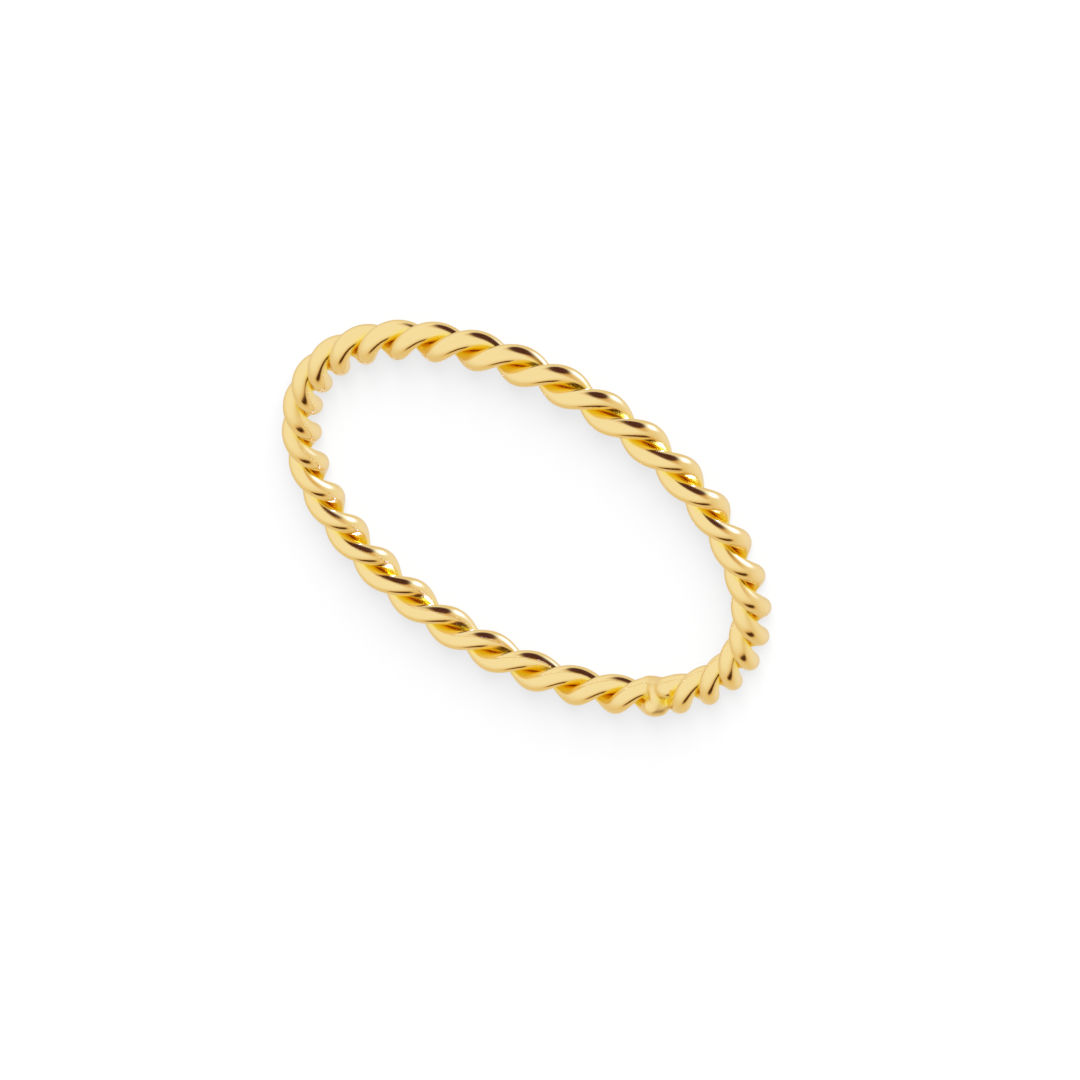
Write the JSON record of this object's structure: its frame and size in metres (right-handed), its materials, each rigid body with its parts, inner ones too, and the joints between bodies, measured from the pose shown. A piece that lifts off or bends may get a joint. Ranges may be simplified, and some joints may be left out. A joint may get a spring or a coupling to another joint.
{
  "type": "twisted wire stacking ring",
  "caption": "Slim stacking finger ring of polished yellow-gold wires twisted round each other in a left-hand rope lay, closed by a soldered seam, lying flat.",
  "frame": {"origin": "on the ring's axis, at the height of the surface that the ring lies on", "axes": "+Z along the ring's axis, the way a finger goes through; +Y from the axis to the soldered seam"},
  "size_m": [0.0202, 0.0202, 0.0015],
  "materials": {
    "gold_wire": "yellow gold, polished round wire",
    "gold_solder": "yellow gold solder, polished with the wires"
  },
  "bodies": {
    "root": {"wire_a": "gold_wire", "wire_b": "gold_wire", "solder_seam": "gold_solder"}
  },
  "joints": []
}
